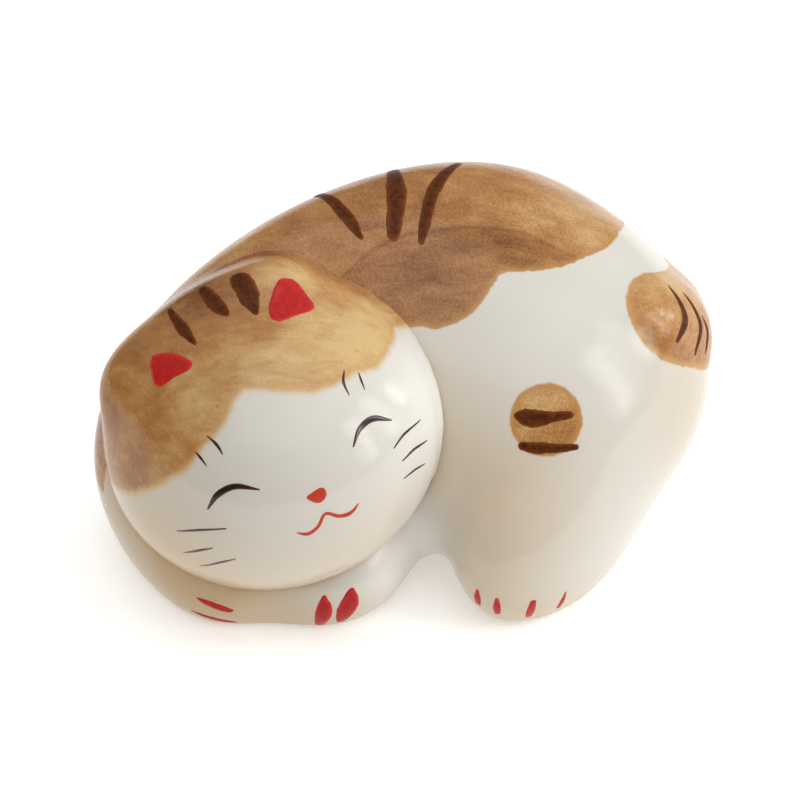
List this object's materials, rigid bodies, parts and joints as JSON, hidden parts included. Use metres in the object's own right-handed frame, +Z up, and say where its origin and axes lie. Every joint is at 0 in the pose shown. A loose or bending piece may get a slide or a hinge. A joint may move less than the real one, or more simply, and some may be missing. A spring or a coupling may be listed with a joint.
{
  "type": "cat figurine",
  "caption": "Crouching ceramic cat figurine with its head resting on its front paws, white glaze with tan patches, brown stripes, red ears and claws and closed smiling eyes.",
  "frame": {"origin": "centre of the bounding box on the plane the base rests on", "axes": "+Z up; +X towards the cat's left side, the way its body lies; -Y the way its face looks"},
  "size_m": [0.0605, 0.0525, 0.033],
  "materials": {
    "torso_glaze": "clear gloss glaze over milk-white porcelain; tan underglaze saddle along the spine and round spot on the left flank; bare unglazed base",
    "head_glaze": "clear gloss glaze over milk-white porcelain; tan underglaze cap over ears, forehead and right cheek",
    "tail_glaze": "clear gloss glaze over tan underglaze",
    "red_enamel": "glossy red overglaze enamel, thin brush marks",
    "brown_enamel": "dark brown enamel, thin brush marks, slightly uneven",
    "black_enamel": "brown-black enamel line work"
  },
  "bodies": {
    "root": {"torso": "torso_glaze", "head": "head_glaze", "tail": "tail_glaze", "left_ear_enamel": "red_enamel", "right_ear_enamel": "red_enamel", "nose_enamel": "red_enamel", "mouth_enamel": "red_enamel", "left_eye_enamel": "black_enamel", "right_eye_enamel": "black_enamel", "left_brow_inner": "black_enamel", "left_brow_outer": "black_enamel", "right_brow_inner": "black_enamel", "right_brow_outer": "black_enamel", "left_whisker_top": "black_enamel", "left_whisker_mid": "black_enamel", "left_whisker_low": "black_enamel", "right_whisker_top": "black_enamel", "right_whisker_mid": "black_enamel", "right_whisker_low": "black_enamel", "forehead_stripe_right": "brown_enamel", "forehead_stripe_mid": "brown_enamel", "forehead_stripe_left": "brown_enamel", "back_stripe_front": "brown_enamel", "back_stripe_mid": "brown_enamel", "back_stripe_rear": "red_enamel", "tail_stripe_tip": "brown_enamel", "tail_stripe_mid": "brown_enamel", "tail_stripe_root": "brown_enamel", "flank_bar_upper": "brown_enamel", "flank_bar_lower": "brown_enamel", "left_front_claw_outer": "red_enamel", "left_front_claw_inner": "red_enamel", "right_front_claw_upper": "red_enamel", "right_front_claw_lower": "red_enamel", "left_hind_claw_1": "red_enamel", "left_hind_claw_2": "red_enamel", "left_hind_claw_3": "red_enamel", "left_hind_claw_4": "red_enamel"}
  },
  "joints": []
}
